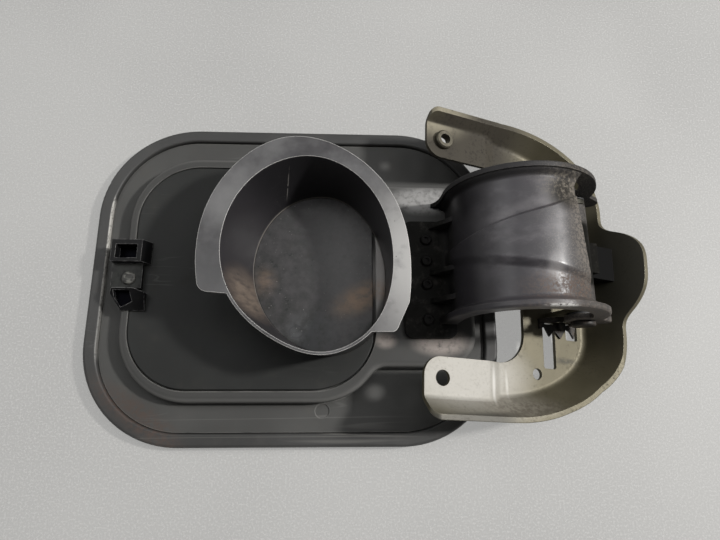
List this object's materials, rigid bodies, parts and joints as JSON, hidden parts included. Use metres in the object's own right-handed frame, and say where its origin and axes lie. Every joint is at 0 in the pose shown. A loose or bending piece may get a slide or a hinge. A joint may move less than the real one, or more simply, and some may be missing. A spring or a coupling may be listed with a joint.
{
  "type": "car fuel door",
  "caption": "Hinged fuel filler door with an arched gooseneck arm, a pressed bracket with two ears, a cap holder cup and a latch striker on its inner side.",
  "frame": {"origin": "middle of the door's outer face", "axes": "+X from the latch edge to the hinge, +Y along the hinge pin, +Z from the outer face to the inner side"},
  "size_m": [0.2643, 0.157, 0.063],
  "materials": {
    "skin": "satin",
    "frame": "satin",
    "panel": "grained",
    "cup": "satin",
    "latch": "glossy",
    "arm": "satin, scuffed",
    "bush": "matt",
    "bracket": "worn olive paint",
    "steel": "dull",
    "dark_steel": "blackened",
    "buffer": "smooth"
  },
  "bodies": {
    "bracket": {"hinge_bracket": "bracket", "hinge_pin": "dark_steel", "pin_clip": "dark_steel", "hinge_spring": "dark_steel", "spring_rivet": "dark_steel", "stop_buffer": "buffer", "ear_nut": "steel"},
    "door": {"outer_skin": "skin", "inner_frame": "frame", "centre_panel": "panel", "cap_holder": "cup", "latch_striker": "latch", "latch_rivet": "steel", "hinge_arm": "arm", "arm_screws": "dark_steel", "pivot_bushes": "bush"}
  },
  "joints": [
    {"name": "door_hinge", "type": "hinge", "parent": "bracket", "child": "door", "pos_m": [0.13185, 0.007, 0.02513], "axis": [0, -1, 0], "range_deg": [0, 86]}
  ]
}
